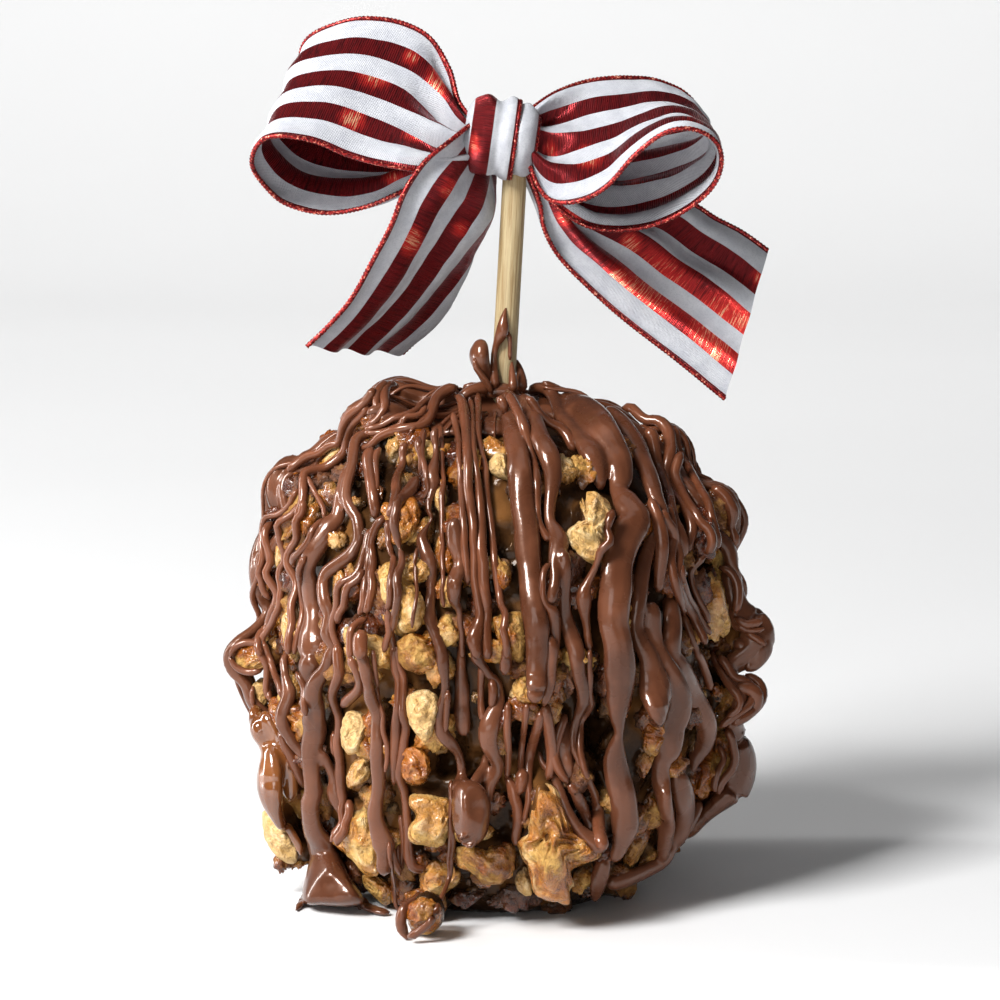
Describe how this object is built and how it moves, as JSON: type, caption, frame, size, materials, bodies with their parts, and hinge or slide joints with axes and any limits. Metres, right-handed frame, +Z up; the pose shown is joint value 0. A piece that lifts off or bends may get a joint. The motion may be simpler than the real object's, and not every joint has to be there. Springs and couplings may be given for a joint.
{
  "type": "caramel apple",
  "caption": "Caramel apple on a wooden stick, coated in walnut pieces and chocolate strands, with a striped wired-ribbon bow tied to the stick.",
  "frame": {"origin": "centre of the flat base that the apple stands on, on the apple's own axis", "axes": "+Z up from the base to the bow, -Y to the front that the picture shows, +X to the viewer's right"},
  "size_m": [0.1206, 0.1101, 0.2],
  "materials": {
    "coating": "Milk chocolate strands with a soft sheen over glossy dark caramel and cream to brown walnut pieces",
    "stick_wood": "Pale untreated wood with fine lengthwise grain",
    "striped_ribbon": "Four matte white and three metallic red lengthwise stripes between glittering red wired edges"
  },
  "bodies": {
    "root": {"coated_apple": "coating", "stick": "stick_wood", "ribbon_bow": "striped_ribbon"}
  },
  "joints": []
}
